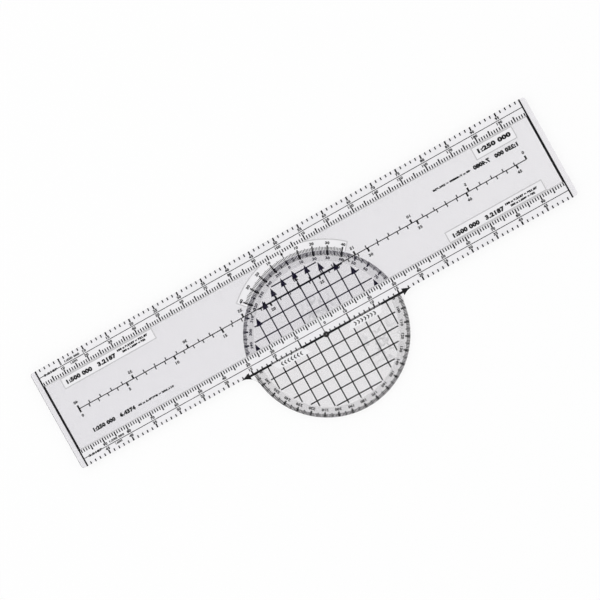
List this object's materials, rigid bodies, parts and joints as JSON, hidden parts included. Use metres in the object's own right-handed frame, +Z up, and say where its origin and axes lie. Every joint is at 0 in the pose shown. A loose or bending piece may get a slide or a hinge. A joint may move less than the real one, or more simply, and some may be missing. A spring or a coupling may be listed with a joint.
{
  "type": "rotating navigation plotter",
  "caption": "Clear straight chart rule with printed distance scales and a round clear azimuth disc that turns under a lobe on its lower edge, on a hollow eyelet.",
  "frame": {"origin": "centre of the pencil hole in the pivot eyelet, on the chart that the disc lies on", "axes": "+X along the rule, +Y across it from the course line to the far long edge, +Z up from the chart, out of the printed face"},
  "size_m": [0.3282, 0.112, 0.0034],
  "materials": {
    "clear_plastic": "clear flexible sheet, polished faces and cut edges",
    "panel_film": "see-through pale grey print",
    "white_ink": "white screen print",
    "grey_tint": "pale grey screen print",
    "black_ink": "black screen print",
    "grey_ink": "fine black screen print that reads as grey",
    "eyelet_metal": "blackened metal, semi-gloss",
    "washer_plastic": "smooth low-friction plastic"
  },
  "bodies": {
    "rule": {"rule_plate": "clear_plastic", "panel_tint": "panel_film", "top_band": "white_ink", "bottom_band": "white_ink", "variation_arc": "white_ink", "legend_panels": "white_ink", "panel_borders": "grey_tint", "course_panels": "white_ink", "top_outer_scale": "black_ink", "top_inner_scale": "grey_ink", "bottom_outer_scale": "black_ink", "bottom_inner_scale": "grey_ink", "band_lines": "grey_ink", "end_lines": "black_ink", "centre_scale": "black_ink", "variation_scale": "grey_ink", "index_marks": "black_ink", "course_arrow": "black_ink", "pivot_eyelet": "eyelet_metal", "spacer_washer": "washer_plastic"},
    "disc": {"azimuth_disc": "clear_plastic", "degree_ring": "grey_tint", "degree_ticks": "black_ink", "course_grid": "black_ink", "meridian_heads": "black_ink"}
  },
  "joints": [
    {"name": "disc_turn", "type": "hinge", "parent": "rule", "child": "disc", "pos_m": [0, 0, 0], "axis": [0, 0, 1], "continuous": true}
  ]
}
